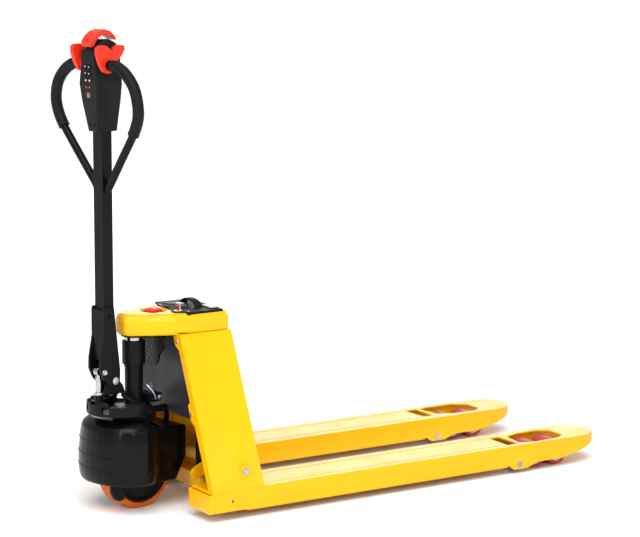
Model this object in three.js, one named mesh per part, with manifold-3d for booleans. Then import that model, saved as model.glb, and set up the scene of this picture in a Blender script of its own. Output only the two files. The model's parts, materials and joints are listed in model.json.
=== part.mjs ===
// An electric pallet truck with lowered forks, as an assembly of named solids.
// Millimetres, +Z up, +X towards the fork tips, the operator stands on the -X side.
// Left and right are those of an operator who faces the fork tips, so right is -Y.
import * as THREE from "three";
import { mergeVertices } from "three/addons/utils/BufferGeometryUtils.js";
import Module from "manifold-3d";

const wasm = await Module();
wasm.setup();

// ---------- driving dimensions ----------
const GAP = 0.3; // between solids that touch
const HALF_WIDTH = 280; // over the forks
const FORK = { width: 147.5, heelWidth: 112, top: 84, bottom: 26, sheet: 5, tip: 1336 };
const FORK_MID = HALF_WIDTH - FORK.width / 2;
const TOWER = { front: 12, back: 171, sheet: 6, foot: 84.3, top: 484, topHalf: 105, flange: 28 };
const HOOD = { bottom: 478, top: 538, skin: 5, back: 165, half: 104 };
const STOP = { x: -12, dish: 36, dishDepth: 6 };
const STEER_X = -74; // vertical axis through the drive wheel and the lift cylinder
const STEER_AT_REST = THREE.MathUtils.degToRad(10);
const WHEEL = { radius: 105, width: 70, tyre: 16 };
const COVER = { x: -45, y: 12, a: 96, b: 131, skin: 4, edge: 240, deck: 222 };
const CASTING = { x: -51, radius: 89, wall: 7, floor: 272, rim: 306 };
const PIVOT = { x: -87, z: 366, ear: 19, bolt: 7.7 }; // tiller pivot
const GAS_EYE = { x: -120, z: 392 };
const TUBE = { x0: -114, x1: -81, half: 20, bottom: 430, top: 1045 };
const HANDLE = { x: -116, z: 1215, tube: 11.2, grip: 16, gripBore: 12.3 };
const LOAD_PIN = { x: 1035, z: 27, r: 9 };
const ROLLER = { radius: 37, width: 88, rear: 1114, front: 1192, axle: 8 };
const BOGIE_X = (ROLLER.rear + ROLLER.front) / 2;
const ROCKER = { x: 120, z: 127, tube: 24, pin: 10 };

// ---------- solids ----------
function solid(geometry) {
  const bare = geometry.clone();
  bare.deleteAttribute("normal");
  bare.deleteAttribute("uv");
  const merged = mergeVertices(bare, 1e-4);
  return new wasm.Manifold(
    new wasm.Mesh({
      numProp: 3,
      vertProperties: new Float32Array(merged.attributes.position.array),
      triVerts: new Uint32Array(merged.index.array),
    }),
  );
}

const join = (first, ...rest) => rest.reduce((all, next) => all.add(next), first);
const cut = (first, ...rest) => rest.reduce((all, next) => all.subtract(next), first);
const common = (first, ...rest) => rest.reduce((all, next) => all.intersect(next), first);

function meshOf(name, body, material) {
  const made = body.getMesh();
  const geometry = new THREE.BufferGeometry();
  const positions = new Float32Array(made.vertProperties);
  geometry.setAttribute("position", new THREE.BufferAttribute(positions, 3));
  geometry.setIndex(new THREE.BufferAttribute(new Uint32Array(made.triVerts), 1));
  geometry.computeVertexNormals();
  const mesh = new THREE.Mesh(geometry, material);
  mesh.name = name;
  return mesh;
}

function box(x0, x1, y0, y1, z0, z1) {
  const geometry = new THREE.BoxGeometry(x1 - x0, y1 - y0, z1 - z0);
  return solid(geometry.translate((x0 + x1) / 2, (y0 + y1) / 2, (z0 + z1) / 2));
}

// A round bar along +Z, +Y or +X, through the point where its axis meets the plane of its ends.
function barZ(x, y, radius, z0, z1, sides = 20) {
  const geometry = new THREE.CylinderGeometry(radius, radius, z1 - z0, sides);
  return solid(geometry.rotateX(Math.PI / 2).translate(x, y, (z0 + z1) / 2));
}

function barY(x, z, radius, y0, y1, sides = 16) {
  const geometry = new THREE.CylinderGeometry(radius, radius, y1 - y0, sides);
  return solid(geometry.translate(x, (y0 + y1) / 2, z));
}

function extruded(points, depth, axes) {
  const shape = new THREE.Shape(points.map(([a, b]) => new THREE.Vector2(a, b)));
  const geometry = new THREE.ExtrudeGeometry(shape, { depth, bevelEnabled: false });
  return geometry.applyMatrix4(new THREE.Matrix4().makeBasis(...axes));
}

const X = new THREE.Vector3(1, 0, 0);
const Y = new THREE.Vector3(0, 1, 0);
const Z = new THREE.Vector3(0, 0, 1);
const alongZ = (xy, z0, z1) => solid(extruded(xy, z1 - z0, [X, Y, Z]).translate(0, 0, z0));
const alongX = (yz, x0, x1) => solid(extruded(yz, x1 - x0, [Y, Z, X]).translate(x0, 0, 0));
const alongY = (xz, y0, y1) =>
  solid(extruded(xz, y1 - y0, [X, Z, Y.clone().negate()]).translate(0, y1, 0));

// Joins rings of equally many points into a closed skin. Rings run anticlockwise about the path.
function loft(rings) {
  const count = rings[0].length;
  const points = rings.flat();
  const faces = [];
  for (let k = 0; k + 1 < rings.length; k++) {
    for (let j = 0; j < count; j++) {
      const a = k * count + j;
      const b = k * count + ((j + 1) % count);
      faces.push(a, b, b + count, a, b + count, a + count);
    }
  }
  const last = (rings.length - 1) * count;
  const bottom = points.length;
  points.push(middle(rings[0]), middle(rings[rings.length - 1]));
  for (let j = 0; j < count; j++) {
    const next = (j + 1) % count;
    faces.push(bottom, next, j, bottom + 1, last + j, last + next);
  }
  const geometry = new THREE.BufferGeometry();
  geometry.setAttribute("position", new THREE.Float32BufferAttribute(points.flat(), 3));
  geometry.setIndex(faces);
  return solid(geometry);
}

function middle(ring) {
  const sum = ring.reduce((all, p) => all.map((v, i) => v + p[i]), [0, 0, 0]);
  return sum.map((v) => v / ring.length);
}

// Moves each side of a convex outline in by a distance.
function inset(points, distance) {
  return points.map((p, i) => {
    const before = points[(i + points.length - 1) % points.length];
    const after = points[(i + 1) % points.length];
    const n1 = inward(before, p);
    const n2 = inward(p, after);
    const scale = distance / (1 + n1[0] * n2[0] + n1[1] * n2[1]);
    return [p[0] + (n1[0] + n2[0]) * scale, p[1] + (n1[1] + n2[1]) * scale];
  });
}

function inward([ax, ay], [bx, by]) {
  const length = Math.hypot(bx - ax, by - ay);
  return [-(by - ay) / length, (bx - ax) / length];
}

// A rod of round section along a smooth path that stays close to a plane across X.
function sweep(points, radius, sides = 10) {
  const rings = points.map((p, i) => {
    const ahead = points[Math.min(i + 1, points.length - 1)];
    const behind = points[Math.max(i - 1, 0)];
    const tangent = ahead.clone().sub(behind).normalize();
    const across = X.clone().addScaledVector(tangent, -tangent.x).normalize();
    const up = tangent.clone().cross(across);
    return Array.from({ length: sides }, (_, k) => {
      const angle = ((k + 0.5) * 2 * Math.PI) / sides;
      const spoke = across.clone().multiplyScalar(radius * Math.cos(angle));
      spoke.addScaledVector(up, radius * Math.sin(angle)).add(p);
      return [spoke.x, spoke.y, spoke.z];
    });
  });
  return loft(rings);
}

// ---------- materials ----------
const paint = (color, roughness, metalness = 0) =>
  new THREE.MeshStandardMaterial({ color, roughness, metalness });
const yellow = () => paint(0xf6b800, 0.3);
const blackPaint = () => paint(0x141416, 0.35);
const plastic = () => paint(0x1d1e20, 0.5);
const steel = () => paint(0xb9bdc2, 0.28, 0.9);
const red = () => paint(0xe2321a, 0.4);

// ---------- forks ----------
// Across a fork, v runs from its outer side inwards.
const across = (side, points) => points.map(([x, v]) => [x, side * (HALF_WIDTH - v)]);

function forkOutline(margin) {
  const nose = [];
  const half = FORK.width / 2;
  const start = 1250;
  const power = 2 / 2.3;
  for (let i = 0; i <= 12; i++) {
    const angle = Math.PI / 2 - (i * Math.PI) / 12;
    const reach = (FORK.tip - start - margin) * Math.max(0, Math.cos(angle)) ** power;
    const swing = (half - margin) * Math.sign(Math.sin(angle)) * Math.abs(Math.sin(angle)) ** power;
    nose.push([start + reach, half + swing]);
  }
  return [
    [margin, margin],
    [margin, FORK.heelWidth - margin],
    [62, FORK.heelWidth - margin],
    [106, FORK.width - margin],
    ...nose,
  ];
}

function forkSide() {
  const { top, bottom, tip } = FORK;
  return [[0, bottom], [1190, bottom], [1266, 43], [1320, 58], [tip, 66], [tip, top],
    [11, top], [11, 77], [0, 77]];
}

const rollerWindow = [[1051, 28], [1080, 14], [1182, 15], [1219, 42], [1219, 106], [1190, 127],
  [1113, 125], [1064, 106]];
const rodWindow = [[1002, 20], [1042, 19], [1041, 115], [1006, 115]];

function fork(side) {
  const low = side < 0 ? -HALF_WIDTH : HALF_WIDTH - FORK.width;
  const high = low + FORK.width;
  const { top, bottom, sheet } = FORK;
  const outer = common(
    alongZ(across(side, forkOutline(0)), bottom, top),
    alongY(forkSide(), low - 1, high + 1),
  );
  const hollow = alongZ(across(side, forkOutline(sheet)), bottom - 1, top - sheet);
  const lugSide = [[996, bottom], [1014, 13], [1064, 13], [1096, bottom], [1096, bottom + 6],
    [996, bottom + 6]];
  const lugs = [0, FORK.width - sheet].map((v) => {
    const y = side * (HALF_WIDTH - v - sheet / 2);
    return alongY(lugSide, y - sheet / 2, y + sheet / 2);
  });
  const lips = [1.5, FORK.width - 15.5].map((v) => {
    const y = side * (HALF_WIDTH - v - 7);
    return box(118, 990, y - 7, y + 7, bottom - 4, bottom + 2);
  });
  const grooves = [24, 118].map((v) => {
    const y = side * (HALF_WIDTH - v);
    return box(196, 984, y - 2, y + 2, top - 1.2, top + 1);
  });
  const armSlot = box(60, 142, side * FORK_MID - 9, side * FORK_MID + 9, top - 8, top + 1);
  const rodHole = barY(73, 53, 5, side * HALF_WIDTH - 8, side * HALF_WIDTH + 8, 12);
  return cut(
    join(cut(outer, hollow), ...lugs, ...lips),
    alongZ(across(side, rollerWindow), top - 8, top + 1),
    alongZ(across(side, rodWindow), top - 8, top + 1),
    barY(LOAD_PIN.x, LOAD_PIN.z, LOAD_PIN.r + 0.4, low - 1, high + 1),
    ...grooves,
    armSlot,
    rodHole,
  );
}

function loadPin(side) {
  const edge = side * (HALF_WIDTH + 1);
  const other = side * (HALF_WIDTH - FORK.width - 1);
  return barY(LOAD_PIN.x, LOAD_PIN.z, LOAD_PIN.r, Math.min(edge, other), Math.max(edge, other));
}

// ---------- tower ----------
const lean = (HALF_WIDTH - TOWER.topHalf) / (TOWER.top - TOWER.foot);
const halfAt = (z) => HALF_WIDTH - (z - TOWER.foot) * lean;

// A symmetric outline across the truck from heights and how far each lies inside the side plates.
function towerSection(steps) {
  const right = steps.map(([z, margin]) => [-(halfAt(z) - margin), z]);
  const left = steps.map(([z, margin]) => [halfAt(z) - margin, z]).reverse();
  return [...right, ...left];
}

function towerShell() {
  const { front, back, sheet, foot, top, flange } = TOWER;
  const side = sheet * Math.hypot(1, lean);
  const flangeSteps = [[foot - 20, flange], [246, flange], [254, 42], [298, 42], [306, flange - 1],
    [440, flange - 1], [450, 42], [top + 20, 42]];
  const boss = [-1, 1].map((s) => {
    const inner = s * 232;
    const outer = s * 268;
    return barY(ROCKER.x, ROCKER.z, 17, Math.min(inner, outer), Math.max(inner, outer));
  });
  const skirtHalf = HALF_WIDTH - FORK.width - GAP;
  const skirt = box(back - sheet, back, -skirtHalf, skirtHalf, 40, foot + 10);
  const shell = cut(
    alongX(towerSection([[foot, 0], [top, 0]]), front, back),
    alongX(towerSection([[foot - 20, side], [top + 20, side]]), front + sheet, back - sheet),
    alongX(towerSection(flangeSteps), front - 5, front + sheet + 5),
  );
  const pinBore = barY(ROCKER.x, ROCKER.z, ROCKER.pin + 0.4, -HALF_WIDTH, HALF_WIDTH);
  return cut(join(shell, skirt, ...boss), pinBore);
}

// A channel under the tower, with a notch for each of the rocker's inner arms.
function crossMember() {
  const half = HALF_WIDTH - FORK.width - GAP;
  const notches = [-1, 1].map((s) => box(80, 140, s * 105 - 9, s * 105 + 9, 52, 90));
  const channel = cut(box(85, 135, -half, half, 39, 81), box(91, 129, -half + 6, half - 6, 30, 75));
  return cut(channel, ...notches);
}

function innerCover() {
  const plate = alongX(towerSection([[258, 9], [478, 9]]), TOWER.front + 6.6, TOWER.front + 9.6);
  const rib = box(TOWER.front + 9, TOWER.front + 15, -40, 40, 300, 440);
  return cut(join(plate, rib), box(TOWER.front, TOWER.back, -20, 20, 240, 274));
}

// ---------- hood ----------
const hoodEdge = [[-120, 0], [-114, 27], [-81, 53], [-35, 74], [10, 92], [52, 103]];

function hoodOutline() {
  const curve = new THREE.SplineCurve(hoodEdge.map(([x, y]) => new THREE.Vector2(x, -y)));
  const right = curve.getPoints(10).map((p) => [p.x, p.y]);
  const left = right.slice(1).map(([x, y]) => [x, -y]).reverse();
  return [...right, [HOOD.back, -HOOD.half], [HOOD.back, HOOD.half], ...left];
}

function hoodLoft(steps, margin) {
  const outline = hoodOutline();
  return loft(steps.map(([z, d]) => inset(outline, d + margin).map(([x, y]) => [x, y, z])));
}

function hood() {
  const { bottom, top, skin } = HOOD;
  const outer = hoodLoft([[bottom, 7], [bottom + 5, 2], [bottom + 12, 0], [top - 18, 0],
    [top - 8, 3], [top - 2.5, 8], [top, 14]], 0);
  const inner = hoodLoft([[bottom - 5, 2], [bottom + 12, 0], [top - 18, 0], [top - skin, 12]], skin);
  const dish = barZ(STOP.x, 0, STOP.dish + 7, top - 16, top - 1);
  const recess = barZ(STOP.x, 0, STOP.dish, top - STOP.dishDepth, top + 5, 32);
  const stem = barZ(STOP.x, 0, 11, top - 30, top);
  const pocket = box(42.4, 153.6, -94.4, 94.4, bottom - 10, top + 10);
  const seat = box(TOWER.front - 0.4, 200, -150, 150, bottom - 10, TOWER.top + GAP);
  const keyhole = barZ(30, -62, 9.4, top - 20, top + 5);
  return cut(join(cut(outer, inner), dish), recess, stem, pocket, seat, keyhole);
}

function ramBracket() {
  const outline = inset(hoodOutline(), HOOD.skin + 8).filter(([x]) => x < 9);
  const floor = alongZ(outline, 474, 477);
  const lobe = [[-75, 474.5], [-75, 446]];
  for (let i = 0; i <= 10; i++) {
    const angle = Math.PI + (i * Math.PI) / 10;
    lobe.push([45 * Math.cos(angle), 422 + 36 * Math.sin(angle)]);
  }
  lobe.push([75, 446], [75, 474.5]);
  return join(floor, alongX(lobe, -22, -16));
}

function ram() {
  return join(barZ(STEER_X, 0, 17.5, 330, 464), barZ(STEER_X, 0, 25, 462, 473.7));
}

function ramGuard() {
  return cut(barZ(STEER_X, 0, 31.5, 398, 461.7, 32), barZ(STEER_X, 0, 27.5, 390, 470, 32));
}

function switchPanel() {
  const top = HOOD.top;
  const outline = [[41, -88], [41, 74], [31, 60], [29, 20], [29, -34], [16, -48], [16, -70]];
  const plate = alongZ(outline, top + GAP, top + 2.6);
  return cut(plate, barZ(30, -62, 9.4, top - 5, top + 5));
}

function keyBarrel() {
  const barrel = barZ(30, -62, 9, HOOD.top - 18, HOOD.top + 4);
  const body = join(barrel, barZ(30, -62, 10.5, HOOD.top + 2.9, HOOD.top + 5));
  return cut(body, box(28.4, 31.6, -68, -56, HOOD.top - 2, HOOD.top + 8));
}

function key() {
  const blade = box(28.8, 31.2, -67.2, -56.8, HOOD.top - 1, HOOD.top + 9);
  return join(blade, box(28.4, 31.6, -73, -51, HOOD.top + 8, HOOD.top + 26));
}

function stopButton() {
  const seat = HOOD.top - STOP.dishDepth;
  const profile = [[0, seat - 16], [9, seat - 16], [10, seat - 14], [10, seat + 3.5], [21, seat + 3.5],
    [23, seat + 5], [23.5, seat + 8], [21, seat + 11], [13, seat + 13], [0, seat + 13.6]];
  const geometry = new THREE.LatheGeometry(profile.map(([r, z]) => new THREE.Vector2(r, z)), 24);
  return solid(geometry.rotateX(Math.PI / 2).translate(STOP.x, 0, 0));
}

// ---------- battery ----------
function battery() {
  const lid = box(43, 153, -94, 94, 532, 541);
  const connector = box(90, 140, -30, 30, 262, 277);
  return join(box(48, 150, -86, 86, 276, 533), lid, connector);
}

function batteryHandle() {
  const arch = [];
  const base = 541 + GAP;
  for (let i = 0; i <= 10; i++) {
    const angle = (i * Math.PI) / 10;
    arch.push([44 * Math.cos(angle), base + 20 * Math.sin(angle)]);
  }
  for (let i = 10; i >= 0; i--) {
    const angle = (i * Math.PI) / 10;
    arch.push([34 * Math.cos(angle), base + 14.5 * Math.sin(angle)]);
  }
  return alongX(arch, 93, 117);
}

const batteryLatch = () => box(58, 80, -22, 2, 541 + GAP, 547);

// ---------- lifting linkage ----------
function rocker() {
  const downArm = [[109, 137], [136, 128], [87, 47], [79, 41], [68, 43], [62, 53]];
  const centreArm = [[112, 140], [50, 109], [43, 97], [46, 83], [57, 78], [128, 110]];
  const arms = [-1, 1].flatMap((s) => [
    alongY(downArm, s * FORK_MID - 6, s * FORK_MID + 6),
    alongY(centreArm, s * 105 - 6, s * 105 + 6),
  ]);
  return join(
    barY(ROCKER.x, ROCKER.z, ROCKER.tube, -228, 228),
    barY(ROCKER.x, ROCKER.z, ROCKER.pin, -266, 266),
    ...arms,
  );
}

function pushRod(side) {
  const outline = [[64, 45], [1012, 54], [1016, 58], [1016, 66], [1012, 70], [64, 61]];
  const y = side * FORK_MID - side * 17;
  return alongY(outline, y - 7, y + 7);
}

function liftYoke() {
  const ring = cut(barZ(STEER_X, 0, 60, 240, 270), barZ(STEER_X, 0, 42, 230, 280));
  const neck = box(STEER_X + 50, 82, -14, 14, 257, 270);
  const legs = [-1, 1].map((s) => box(67, 82, s * 92 - 6, s * 92 + 6, 78, 270));
  return join(ring, neck, box(67, 82, -98, 98, 246, 270), ...legs);
}

// ---------- load wheels ----------
function loadArm(side) {
  const y = side * FORK_MID;
  const profile = [[1022, 36], [1021, 20], [1034, 13], [1048, 14], [1150, 24], [1163, 30],
    [1167, 40], [1161, 49], [1148, 50], [1046, 40], [1034, 41]];
  const crank = [[1014, 66], [1026, 70], [1031, 62], [1048, 32], [1022, 24]];
  const body = join(
    barY(LOAD_PIN.x, LOAD_PIN.z, 14, y - 55, y + 55),
    alongY(crank, y - 6, y + 6),
    ...[-1, 1].map((s) => alongY(profile, y + s * 52.3 - 2.7, y + s * 52.3 + 2.7)),
  );
  return cut(
    body,
    barY(LOAD_PIN.x, LOAD_PIN.z, LOAD_PIN.r + 0.4, y - 60, y + 60),
    barY(BOGIE_X, ROLLER.radius, 8.5, y - 60, y + 60),
  );
}

function bogie(side) {
  const y = side * FORK_MID;
  const z = ROLLER.radius;
  const profile = [[ROLLER.rear, z - 11], [ROLLER.front, z - 11], [ROLLER.front + 10, z - 5],
    [ROLLER.front + 10, z + 5], [ROLLER.front, z + 11], [ROLLER.rear, z + 11],
    [ROLLER.rear - 10, z + 5], [ROLLER.rear - 10, z - 5]];
  return join(
    ...[-1, 1].map((s) => alongY(profile, y + s * 46.9 - 2, y + s * 46.9 + 2)),
    ...[-1, 1].map((s) => barY(BOGIE_X, z, ROLLER.axle, y + s * 51.4 - 3.5, y + s * 51.4 + 3.5)),
    ...[ROLLER.rear, ROLLER.front].map((x) => barY(x, z, ROLLER.axle, y - 46, y + 46)),
  );
}

function loadRoller(side, x) {
  const y = side * FORK_MID;
  const half = ROLLER.width / 2;
  const rim = ROLLER.radius;
  const bore = ROLLER.axle + 0.5;
  const profile = [[bore, -half], [rim - 3, -half], [rim, 3 - half], [rim, half - 3],
    [rim - 3, half], [bore, half], [bore, -half]];
  const geometry = new THREE.LatheGeometry(profile.map(([r, h]) => new THREE.Vector2(r, h)), 22);
  return solid(geometry.translate(x, y, rim));
}

// ---------- drive unit, in a frame on the steering axis ----------
function driveHub() {
  const half = WHEEL.width / 2;
  const rim = WHEEL.radius - WHEEL.tyre;
  const profile = [[0, 10 - half], [26, 10 - half], [30, 1 - half], [48, 1 - half], [54, 7 - half],
    [rim - 12, 7 - half], [rim - 7, 1 - half], [rim, 1 - half], [rim, half - 1],
    [22, half - 1], [22, half + 2.4], [0, half + 2.4]];
  const geometry = new THREE.LatheGeometry(profile.map(([r, h]) => new THREE.Vector2(r, h)), 32);
  const bolts = Array.from({ length: 6 }, (_, i) => {
    const angle = (i * Math.PI) / 3;
    const x = 39 * Math.cos(angle);
    return barY(x, WHEEL.radius + 39 * Math.sin(angle), 5, -half - 3, 5 - half, 6);
  });
  return join(solid(geometry.translate(0, 0, WHEEL.radius)), ...bolts);
}

function driveTyre() {
  const half = WHEEL.width / 2;
  const inner = WHEEL.radius - WHEEL.tyre + GAP;
  const rim = WHEEL.radius;
  const profile = [[inner, -half], [rim - 5, -half], [rim, 5 - half], [rim, half - 5],
    [rim - 5, half], [inner, half], [inner, -half]];
  const geometry = new THREE.LatheGeometry(profile.map(([r, h]) => new THREE.Vector2(r, h)), 32);
  return solid(geometry.translate(0, 0, rim));
}

function driveHousing() {
  const gearCase = [[-46, 60], [-30, 47], [0, 42], [30, 47], [46, 60], [60, 110], [56, 217], [-56, 217],
    [-60, 110]];
  const frontCase = [[-116, 96], [-115, 62], [-104, 43], [-88, 35], [-73, 38], [-69, 52], [-78, 72],
    [-86, 96]];
  return join(
    alongY(gearCase, 39, 64),
    box(-116, 56, -46, 64, 211, 217),
    box(-116, -107, -46, 34, 86, 212),
    alongY(frontCase, -46, -37),
    barZ(0, 0, 38, 213, CASTING.floor - GAP, 28),
  );
}

const driveMotor = () =>
  join(barZ(-88, 66, 26, 100, 210.7), barZ(-88, 66, 21, 90, 101));

function coverRing(z, d) {
  return Array.from({ length: 32 }, (_, i) => {
    const angle = (i * 2 * Math.PI) / 32;
    return [COVER.x + (COVER.a + d) * Math.cos(angle), COVER.y + (COVER.b + d) * Math.sin(angle), z];
  });
}

const belly = (steps, margin) => loft(steps.map(([z, d]) => coverRing(z, d - margin)));

function coverBlock(margin, floor) {
  const { edge, deck } = COVER;
  const steps = [[60, -44], [63, -28], [72, -14], [88, -4], [110, 0], [150, 0], [200, -4],
    [edge - 8, -9], [edge, -14], [edge + 15, -34]];
  const inner = [[floor, -16], [88, -4], [150, 0], [200, -4], [edge - 8, -9], [edge - 4, -14],
    [edge + 10, -34]];
  const front = common(
    belly(margin ? inner : steps, margin),
    box(-300, -6 - margin, -300, 300, 0, 400),
  );
  const side = [[-60, deck - margin], [121 - margin, deck - margin], [121 - margin, 136],
    [86 - margin, margin ? floor : 72], [20 + margin, margin ? floor : 72],
    [20 + margin, margin ? floor : 98], [-60, margin ? floor : 98]];
  const ridge = [[-76 + margin, -60], [-76 + margin, margin - 97], [-26, margin - 97],
    [16 - margin, margin - 80], [24 - margin, -60]];
  return join(
    front,
    alongY(side, margin - 76, 80 - margin),
    alongZ(ridge, margin ? floor : 98, COVER.edge - 4 - margin),
  );
}

function driveCover() {
  const neck = barZ(0, 0, 66, 200, 290, 32);
  return cut(coverBlock(0, 0), coverBlock(COVER.skin, 30), neck);
}

// ---------- turret ----------
function earProfile() {
  const { x, z, ear } = PIVOT;
  const round = Array.from({ length: 7 }, (_, i) => {
    const angle = (160 - i * 25) * (Math.PI / 180);
    return [x + ear * Math.cos(angle), z + ear * Math.sin(angle)];
  });
  return [[-138, 274], [-138, 300], [-116, 338], ...round, [-50, 344], [-40, 310], [-8, 290],
    [36, 286], [36, 274]];
}

function window(angle) {
  const opening = alongX([[-24, 300], [24, 300], [6, 338], [-4, 338]], -160, -58);
  return opening.rotate([0, 0, angle]);
}

function turretCasting() {
  const { x, radius, wall, floor, rim } = CASTING;
  const shoulders = [[-92, floor], [-92, 292], [-60, 300], [-20, 322], [-19.7, 400], [19.7, 400],
    [20, 322], [60, 300], [92, 292], [92, floor]];
  const cavity = [[-86, floor + 10], [-86, 290], [-55, 294], [-12.5, 316], [-12.5, 410], [12.5, 410],
    [12.5, 316], [55, 294], [86, 290], [86, floor + 10]];
  const drum = barZ(x, 0, radius, floor, 400, 40);
  const ring = cut(barZ(x, 0, radius, floor, rim, 40), box(-26, 100, -100, 100, 288, 400));
  const tent = common(alongY(earProfile(), -100, 100), alongX(shoulders, -140, 60), drum);
  const bowl = barZ(x, 0, radius - wall, floor + 10, rim + 20, 40);
  const inner = join(
    common(bowl, alongX(cavity, -160, 60)),
    common(bowl, box(-200, -60, -12.5, 12.5, 280, 330)),
  );
  const slots = [-17, 17].map((turn) => box(-160, -110, -11, 11, 281, 300).rotate([0, 0, turn]));
  return cut(
    join(ring, tent),
    inner,
    common(bowl, box(-200, CASTING.x - 4, -90, 90, 302, 330)),
    window(31),
    window(-31),
    ...slots,
    barZ(0, 0, 26, floor - 5, 400, 28),
    alongX([[-12.5, 300], [-12.5, 420], [12.5, 420], [12.5, 300]], -150, -30),
    barY(PIVOT.x, PIVOT.z, PIVOT.bolt + 0.4, -40, 40),
  );
}

function liftCylinder() {
  const barrel = cut(barZ(0, 0, 25, CASTING.floor + 0.3, 456, 32), barZ(0, 0, 18.2, 326, 460, 28));
  const foot = barZ(0, 0, 25.5, CASTING.floor + 0.3, 290, 28);
  return join(barrel, foot);
}

function valveBlock() {
  const body = box(26, 70, -34, 20, 289, 312);
  return cut(body, barZ(0, 0, 26.2, 280, 320, 28));
}

const valveCoil = () => barZ(46, -16, 11, 312.3, 342, 20);

function gasCylinder() {
  const floor = CASTING.floor + 10 + GAP;
  return cut(barZ(GAS_EYE.x, 0, 12, floor, 335, 20), barZ(GAS_EYE.x, 0, 9.4, floor - 5, 340, 20));
}

function gasRod() {
  const rod = barZ(GAS_EYE.x, 0, 8.8, 327, 386, 20);
  return join(rod, barY(GAS_EYE.x, GAS_EYE.z, 12, -9, 9, 20));
}

// ---------- tiller ----------
function tillerYoke() {
  const { x, z } = PIVOT;
  const plate = [[-120, 568], [-86, 568], [-67, 392], [x + 19, z], [x + 12, z - 15], [x, z - 20],
    [x - 14, z - 16], [-122, 372], [-134, 400], [-133, 430], [-121, 490]];
  const inner = TUBE.half + GAP;
  const outer = inner + 6.7;
  const studs = [-1, 1].map((s) => barY(GAS_EYE.x, GAS_EYE.z, 5.5, s * 15.6 - 5, s * 15.6 + 5, 14));
  return cut(
    join(
      alongY(plate, inner, outer),
      alongY(plate, -outer, -inner),
      box(-121, TUBE.x0 - GAP, -outer, outer, 424, 560),
      ...studs,
    ),
    barY(x, z, PIVOT.bolt + 0.4, -40, 40),
  );
}

function tillerTube() {
  const { x0, x1, half, bottom, top } = TUBE;
  return cut(
    box(x0, x1, -half, half, bottom, top),
    box(x0 + 3, x1 - 3, 3 - half, half - 3, bottom - 5, top - 3),
  );
}

function pivotBolt() {
  const { x, z, bolt } = PIVOT;
  return join(
    barY(x, z, bolt, -32, 32),
    barY(x, z, 10, 27.4, 33, 6),
    barY(x, z, 10, -33, -27.4, 12),
  );
}

// The hand loops' centre line, from the right foot over the head to the left foot.
const rightLoop = [[-97, 34, 900], [-104, 92, 970], [-110, 149, 1040], [-113, 173, 1084],
  [-116, 176, 1122], [-117, 163, 1162], [-117, 132, 1194], [-117, 96, 1212], [-116, 64, 1215]];

function loopCurve(side) {
  const points = rightLoop.map(([x, y, z]) => new THREE.Vector3(x, side * y, z));
  return new THREE.CatmullRomCurve3(points, false, "centripetal");
}

const reach = (curve, from, to, count) =>
  Array.from({ length: count + 1 }, (_, i) => curve.getPointAt(from + ((to - from) * i) / count));

function handleBar() {
  const right = reach(loopCurve(-1), 0, 1, 22);
  const left = reach(loopCurve(1), 0, 1, 22).reverse();
  const foot = (side) => new THREE.Vector3(-97, side * 20.4, 882);
  return cut(
    sweep([foot(-1), ...right, ...left, foot(1)], HANDLE.tube),
    box(-130, -60, -TUBE.half - GAP, TUBE.half + GAP, 860, 960),
  );
}

function grip(side) {
  const curve = loopCurve(side);
  const start = 0.385;
  return cut(
    sweep(reach(curve, start, 0.997, 14), HANDLE.grip),
    sweep(reach(curve, start - 0.02, 1, 14), HANDLE.gripBore),
  );
}

function headRing(z, xf, fw, xs, sw, xr) {
  const chamfer = 9;
  const right = [[xr - chamfer, -sw], [xr, chamfer - sw]];
  const left = [[xr, sw - chamfer], [xr - chamfer, sw], [xs, sw], [xf, fw]];
  return [...left, [xf, -fw], [xs, -sw], ...right].map(([x, y]) => [x, y, z]);
}

const BUTTONS = [["button_lift", 8, 1210], ["button_lower", -8, 1210], ["button_horn", 8, 1193],
  ["button_slow", -8, 1193]];
const BUTTON = { width: 11, height: 10, face: -143.6 };

function controlHead() {
  const body = loft([
    headRing(1038, -128, 18.5, -97, 27, -62),
    headRing(1120, -139, 32, -106, 40, -58),
    headRing(1165, -143, 37, -108, 44, -56),
    headRing(1203, -143, 30, -110, 40, -57),
    headRing(1250, -144, 26, -112, 38, -58),
    headRing(1256, -133, 24, -110, 37, -58),
    headRing(1270, -122, 22, -112, 32, -66),
    headRing(1280, -108, 18, -104, 24, -82),
  ]);
  const pockets = BUTTONS.map(([, y, z]) => box(-160, BUTTON.face + 6, y - BUTTON.width / 2 - 0.4,
    y + BUTTON.width / 2 + 0.4, z - BUTTON.height / 2 - 0.4, z + BUTTON.height / 2 + 0.4));
  return cut(
    body,
    box(TUBE.x0 - 0.4, TUBE.x1 + 0.4, -TUBE.half - 0.4, TUBE.half + 0.4, 1030, TUBE.top + 0.4),
    barY(HANDLE.x, HANDLE.z, 15.8, -60, 60, 24),
    ...pockets,
  );
}

function panelButton(y, z) {
  const { width, height, face } = BUTTON;
  return box(face - 1.6, face + 3.5, y - width / 2, y + width / 2, z - height / 2, z + height / 2);
}

function throttle() {
  const profile = [[-155, 1262], [-146, 1268], [-128, 1268], [-114, 1260], [-106, 1247], [-98, 1262],
    [-86, 1268], [-68, 1266], [-64, 1256], [-74, 1240], [-90, 1226], [-95, 1210], [-104, 1198],
    [-118, 1193], [-134, 1198], [-147, 1220], [-155, 1245]];
  const sleeve = barY(HANDLE.x, HANDLE.z, 15, -60, 60, 24);
  const paddles = [-1, 1].map((s) => alongY(profile, s * 53 - 7, s * 53 + 7));
  return cut(join(sleeve, ...paddles), barY(HANDLE.x, HANDLE.z, 12.4, -70, 70, 24));
}

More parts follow.
